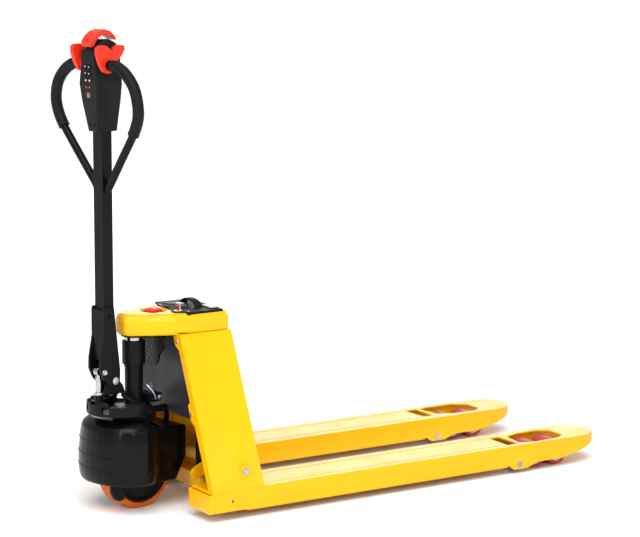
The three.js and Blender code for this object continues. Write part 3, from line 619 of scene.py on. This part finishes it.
def wheel():
    low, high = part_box("drive_tyre")
    rim = (high.z - low.z) / 2 / MM
    centre = (0, 0, rim)
    half = 35
    tread = [(89.5, -half), (97, -half), (rim, 6 - half), (rim, half - 6), (97, half), (89.5, half)]
    obj = turned(
        "drive_tyre_tread", centre, (0, 1, 0), rounded(tread, 4), "drive_wheel", "orange_tyre", STEERED, 112,
        ring=True,
    )
    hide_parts("drive_tyre")
    for k in range(5):
        y = -16 + 8 * k
        line = [(rim - 0.7, y - 0.8), (rim - 0.02, y), (rim - 0.7, y + 0.8)]
        turned(
            f"tyre_line_{k}", centre, (0, 1, 0), line, "drive_wheel", "orange_tyre", STEERED, 96, ring=True
        )
    disc = [
        (0.01, 10 - half), (24, 10 - half), (27, 7 - half), (31, 1 - half), (47, 1 - half), (52, 5 - half),
        (57, 8 - half), (76, 8 - half), (81, 3 - half), (84, 1 - half), (89.2, 1 - half), (89.2, half - 1),
        (24, half - 1), (22, half + 2.2), (0.01, half + 2.2),
    ]
    hub = turned(
        "drive_hub_disc", centre, (0, 1, 0), rounded(disc, 3), "drive_wheel", "cast_paint", STEERED, 96,
    )
    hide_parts("drive_hub")
    for k in range(6):
        angle = math.pi * k / 3
        spot = (39 * math.cos(angle), 1 - half, rim + 39 * math.sin(angle))
        hex_bolt(f"wheel_bolt_{k}", spot, (0, -1, 0), 9, 4.6, "drive_wheel", STEERED, "cast_paint")
    cap = rounded([(0.01, 0), (15, 0), (15, 5), (9, 7.5), (0.01, 7.5)], 1.6)
    turned("wheel_cap", (0, 10 - half, rim), (0, -1, 0), cap, "drive_wheel", "zinc_steel", STEERED, 48)


def housing_bolts():
    for k in range(7):
        angle = math.radians(-60 + 50 * k)
        spot = (45 * math.cos(angle), 64, 105 + 45 * math.sin(angle))
        hex_bolt(f"gear_case_bolt_{k}", spot, (0, 1, 0), 8, 4.5, "turret", STEERED)
    cap = rounded([(0.01, 0), (24, 0), (24, 2.6), (18, 4), (0.01, 4)], 1)
    turned("gear_case_cap", (0, 64, 105), (0, 1, 0), cap, "turret", "cast_paint", STEERED, 56)


def motor_fins():
    for k in range(8):
        z = 112 + 11 * k
        fin = rounded([(25.6, z), (26.6, z), (26.6, z + 3), (25.6, z + 3)], 0.4)
        turned(f"motor_fin_{k}", (-88, 66, 0), (0, 0, 1), fin, "turret", "cast_paint", STEERED, 48, ring=True)


def cover_trim():
    """Screws in the cover's side and deck, and shallow bands that run round its belly.

    grow is how much the half axes of a band's oval differ from 96 and 131.
    """
    cap_screw("cover_side_screw", (73, -76, 173), (0, -1, 0), 4.6, "turret", STEERED, "black_paint")
    for k, (x, y) in enumerate(((60, -52), (60, 56), (98, -30), (98, 34))):
        cap_screw(f"cover_deck_screw_{k}", (x, y, 221.6), (0, 0, 1), 4.0, "turret", STEERED, "black_paint")

    def taper(share):
        return 1.5 * min(1, 8 * share, 8 * (1 - share)) + 0.05

    for k, (z, grow) in enumerate(((196, -4.1), (160, -0.9), (124, -0.2))):
        path = []
        for i in range(64):
            angle = math.radians(106 + 128 * i / 63)
            path.append(Vector((-45 + (96 + grow) * math.cos(angle), 12 + (131 + grow) * math.sin(angle), z)))
        swept(f"cover_band_{k}", path, taper, "turret", "gloss_shell", STEERED, 10)


def lift_cylinder():
    """A painted barrel with two bands, the plated ram with its head, and the guard sleeve."""
    low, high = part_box("lift_cylinder")
    z0, z1 = low.z / MM, high.z / MM
    outer = [
        (18.4, z1 - 4), (18.4, z1), (24.9, z1), (24.9, z0 + 20), (25.4, z0 + 18), (25.4, z0), (18.4, z0),
        (18.4, z1 - 4),
    ]
    barrel = turned(
        "lift_cylinder_barrel", (0, 0, 0), (0, 0, 1), rounded(outer, 1.2), "turret", "black_paint",
        STEERED, 72, ring=True,
    )
    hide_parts("lift_cylinder")
    for k, z in enumerate((z0 + 14, z0 + 118)):
        band = rounded([(24.6, z), (26.4, z), (26.4, z + 5), (24.6, z + 5)], 0.8)
        turned(
            f"barrel_band_{k}", (0, 0, 0), (0, 0, 1), band, "turret", "black_paint", STEERED, 72, ring=True
        )
    axis = Matrix.Translation((STEER_AXIS.x, 0, 0))
    low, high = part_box("ram")
    z0, z1 = low.z / MM, high.z / MM
    ram = [(0.01, z0), (17.3, z0), (17.3, 462.6), (24.8, 462.6), (24.8, z1), (0.01, z1)]
    obj = turned("ram_rod", (0, 0, 0), (0, 0, 1), rounded(ram, 1.2), "chassis", "chrome", axis, 72)
    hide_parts("ram")
    low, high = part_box("ram_guard")
    z0, z1 = low.z / MM, high.z / MM
    sleeve = rounded([(27.7, z0), (31.4, z0), (31.4, z1), (27.7, z1), (27.7, z0 + 2)], 1.4)
    obj = turned(
        "ram_guard_sleeve", (0, 0, 0), (0, 0, 1), sleeve, "chassis", "black_paint", axis, 72,
        ring=True,
    )
    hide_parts("ram_guard")


def valves():
    """The valve block, a plug and an adjuster, the valve coil, and a short pressure pipe."""
    soften("valve_block", 1.6)
    low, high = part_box("valve_coil")
    place = Matrix.Translation(((low.x + high.x) / 2, (low.y + high.y) / 2, 0))
    z0, z1 = low.z / MM, high.z / MM
    coil = [
        (0.01, z0), (8, z0), (8, z0 + 3), (10.9, z0 + 4),
        (10.9, z1 - 6), (6.5, z1 - 5), (6.5, z1), (0.01, z1),
    ]
    obj = turned(
        "valve_coil_body", (0, 0, 0), (0, 0, 1), rounded(coil, 0.9), "turret", "valve_zinc", place, 48,
    )
    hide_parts("valve_coil")
    hex_bolt("valve_plug", (62, -34, 300), (0, -1, 0), 11, 6, "turret", STEERED)
    hex_bolt("valve_adjuster", (60, 6, 312), (0, 0, 1), 9, 8, "turret", STEERED)
    pipe = smooth_path([(40, -34, 298), (40, -44, 300), (30, -46, 320), (22, -34, 336), (19, -22, 340)], 8)
    swept("pressure_pipe", pipe, 3.2, "turret", "zinc_steel", STEERED, 16)


def gas_spring():
    """The painted cylinder with a collar, and the plated rod with an eye, under the tiller."""
    foot = (GAS_X, 0, 0)
    low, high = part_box("gas_cylinder")
    z0, z1 = low.z / MM, high.z / MM
    shell = rounded([(9.6, z0), (11.9, z0), (11.9, z1), (9.6, z1), (9.6, z0 + 2)], 0.9)
    obj = turned(
        "gas_cylinder_tube", foot, (0, 0, 1), shell, "turret", "black_paint", STEERED, 56,
        ring=True,
    )
    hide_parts("gas_cylinder")
    collar = rounded([(11.6, z1 - 7), (14.5, z1 - 7), (14.5, z1 + 0.4), (9.3, z1 + 0.4), (9.3, z1 - 2)], 1.2)
    turned("gas_collar", foot, (0, 0, 1), collar, "turret", "chrome", STEERED, 56, ring=True)
    low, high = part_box("gas_rod")
    z0, z1 = low.z / MM, high.z / MM
    rod = rounded([(0.01, z0), (8.6, z0), (8.6, z1 - 28), (7.4, z1 - 22), (0.01, z1 - 22)], 1.4)
    obj = turned("gas_rod_bar", foot, (0, 0, 1), rod, "gas_rod", "chrome", STEERED, 48)
    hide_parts("gas_rod")
    eye = rounded([(4.4, -8.6), (11.8, -8.6), (11.8, 8.6), (4.4, 8.6), (4.4, -8.0)], 1.4)
    spot = (GAS_X, 0, z1 - 12)
    turned("gas_rod_eye", spot, (0, 1, 0), eye, "gas_rod", "chrome", STEERED, 56, ring=True)


# ---------- tiller ----------
# The middle line of the handle's left half, from the tube up and round to the head.
LOOP = [
    (-97, 34, 900), (-104, 92, 970), (-110, 149, 1040), (-113, 173, 1084), (-116, 176, 1122),
    (-117, 163, 1162), (-117, 132, 1194), (-117, 96, 1212), (-116, 64, 1215),
]
GRIP_START = 20  # the step of the path, counted from the tube, at which a grip begins
HEAD_LEAN = 0.02  # how far the head's face leans, per millimetre of height


def tiller():
    soften("tiller_yoke", 1.6, segments=4)
    soften("tiller_tube", 3.4, segments=4)
    yoke_trim()
    handle()
    mould("control_head", 1.6, 3)
    keypad()
    mould("throttle", 1.1, 9)
    mould("belly_button", 1.1, 20)


def yoke_trim():
    """The pivot bolt with its end caps, and the bolts in the yoke's cheeks."""
    soften("pivot_bolt", 0.6)
    z = Vector(JOINT["tiller_tilt"]["pos_m"]).z / MM
    cap = rounded([(0.01, 0), (9.6, 0), (9.6, 5.2), (6.5, 6.4), (0.01, 6.4)], 1)
    for side in (-1, 1):
        face = side * 27.2
        cheek = face - side * 0.3
        out = (0, side, 0)
        turned(f"pivot_cap_{side + 1}", (-87, face, z), out, cap, "turret", "chrome", STEERED, 40)
        hex_bolt(f"gas_pin_{side + 1}", (GAS_X, cheek, 392), out, 11, 6, "tiller", STEERED, "chrome")
        hex_bolt(f"yoke_bolt_{side + 1}", (-98, cheek, 540), out, 9, 5, "tiller", STEERED, "black_paint")


def handle():
    """The looped bar, made in one sweep, and a ribbed grip on each side."""
    right = smooth_path([(x, -y, z) for x, y, z in LOOP], 10)
    left = [Vector((p.x, -p.y, p.z)) for p in reversed(right)]
    feet = [Vector((-97, s * 20.6, 882)) for s in (-1, 1)]
    loop = [feet[0], *right, *left, feet[1]]
    obj = swept("handle_bar_loop", loop, 11.0, "tiller", "black_paint", STEERED)
    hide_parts("handle_bar")
    for hand, path in (("right", right), ("left", list(reversed(left)))):
        dense = smooth_path(path[GRIP_START:-1], 4)

        def thickness(share):
            rib = 0.4 * math.sin(share * 230) if 0.05 < share < 0.95 else 0.0
            end = min(1.0, share * 60, (1 - share) * 60)
            return 13.0 + 2.3 * end + rib * end

        grip = swept(
            f"grip_{hand}_sleeve", dense, thickness, "tiller", "grip_rubber", STEERED, 32
        )
        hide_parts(f"grip_{hand}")
        ahead = (dense[1] - dense[0]).normalized()
        flange = rounded([(11.4, 0), (15.8, 0), (15.8, 4), (11.4, 4)], 1.0)
        turned(f"grip_{hand}_lip", dense[0], ahead, flange, "tiller", "grip_rubber", STEERED, 40, ring=True)


def keypad():
    """Press keys with pale arrows, status lights, a square display, and the head's screws and seams."""
    marks = {"button_lift": 1, "button_lower": -1, "button_horn": 1, "button_slow": -1}
    for node, way in marks.items():
        soften(node, 0.9)
        low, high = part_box(node)
        centre = STEERED.inverted() @ ((low + high) / 2) / MM
        face = centre.x - 2.55
        tip = Vector((face, centre.y, centre.z + way * 2.6))
        for s in (-1, 1):
            leg = [tip, Vector((face, centre.y + s * 2.6, centre.z - way * 1.2))]
            swept(f"{node}_mark_{s + 1}", leg, 0.5, node, "pale_mark", STEERED, 8)
    lights = (
        (8, 1174, "pale_mark"), (-8, 1174, "pale_mark"), (7, 1156, "red_plastic"), (-7, 1156, "display_glass")
    )
    lens = [(2.6, 0), (2.6, 1.6), (1.6, 2.2)]
    for k, (y, z, material) in enumerate(lights):
        centre = (-142.0 + (1172 - z) * HEAD_LEAN, y, z)
        turned(f"status_light_{k}", centre, (-1, 0, 0), lens, "tiller", material, STEERED, 24)
    plate("display_frame", (-139.4, 0, 1135), (2.6, 19, 19), "tiller", "black_plastic", STEERED, 1.0)
    plate("display_glass", (-140.4, 0, 1135), (1.8, 14, 14), "tiller", "display_glass", STEERED, 0.7)
    for s in (-1, 1):
        spot = (-129.3, s * 10, 1056)
        cap_screw(f"head_screw_{s + 1}", spot, (-1, 0, 0), 3.4, "tiller", STEERED, "black_paint")
        seam = []
        for z in range(1044, 1150, 6):
            half_width = 27.6 + (z - 1038) * 0.135
            seam.append(Vector((-72 + (1170 - z) * 0.01, s * half_width, z)))
        swept(f"head_seam_{s + 1}", seam, 0.7, "tiller", "black_plastic", STEERED, 8)


# ---------- setting ----------
def studio():
    """A pale floor, a pale sky, a soft sun and four soft boxes."""
    bpy.ops.mesh.primitive_plane_add(size=60, location=(0, 0, 0))
    floor = bpy.context.object
    floor.name = "floor"
    pale = Finish("pale_floor", (0.97, 0.97, 0.97), 0.8, specular=0.02)
    pale.tint((0.97, 0.97, 0.97), (0.965, 0.965, 0.965), 3.0, 0.3, 0.7)
    floor.data.materials.append(pale.material)
    world = bpy.data.worlds.new("soft_sky")
    bpy.context.scene.world = world
    world.use_nodes = True
    world.node_tree.nodes["Background"].inputs["Color"].default_value = (1, 1, 1, 1)
    world.node_tree.nodes["Background"].inputs["Strength"].default_value = 0.55
    sun = bpy.data.lights.new("daylight", "SUN")
    sun.energy = 2.3
    sun.angle = math.radians(50)
    lamp = bpy.data.objects.new("daylight", sun)
    lamp.rotation_euler = Vector((0.35, 0.45, -1)).to_track_quat("-Z", "Y").to_euler()
    bpy.context.scene.collection.objects.link(lamp)
    # Each soft box has a place in metres, a size in metres and a power in watts.
    boxes = {
        "side": ((0.9, -3.4, 1.5), (2.2, 0.9), 10),
        "operator": ((-3.4, -1.6, 1.5), (0.35, 2.0), 26),
        "rim": ((-1.7, -3.6, 1.7), (0.5, 1.2), 24),
        "back": ((3.4, 5.0, 1.9), (5.0, 1.4), 62),
    }
    for name, (where, size, power) in boxes.items():
        light = bpy.data.lights.new(name, "AREA")
        light.shape = "RECTANGLE"
        light.size, light.size_y = size
        light.energy = power
        obj = bpy.data.objects.new(name, light)
        obj.location = where
        obj.rotation_euler = (Vector((0, 0, 0.3)) - Vector(where)).to_track_quat("-Z", "Y").to_euler()
        bpy.context.scene.collection.objects.link(obj)
    bpy.context.scene.view_settings.view_transform = "Standard"


CAMERA_PLACE = Vector((-3087, -5651, 1730))
CAMERA_TURN = (-32.59, -9.52, 0.15)  # yaw, pitch and roll in degrees
CAMERA_LENS = 135


def camera():
    data = bpy.data.cameras.new("camera")
    data.lens = CAMERA_LENS
    data.sensor_width = 36
    data.clip_end = 100
    obj = bpy.data.objects.new("camera", data)
    yaw, pitch, roll = (math.radians(a) for a in CAMERA_TURN)
    level = Matrix.Rotation(yaw, 4, "Z") @ Matrix.Rotation(math.pi / 2 + pitch, 4, "X")
    turn = level @ Matrix.Rotation(roll, 4, "Z")
    obj.matrix_world = HEEL @ Matrix.Translation(CAMERA_PLACE * MM) @ turn
    bpy.context.scene.collection.objects.link(obj)
    bpy.context.scene.camera = obj


camera()
studio()
forks_and_tower()
hood_and_controls()
load_wheels()
drive_unit()
tiller()
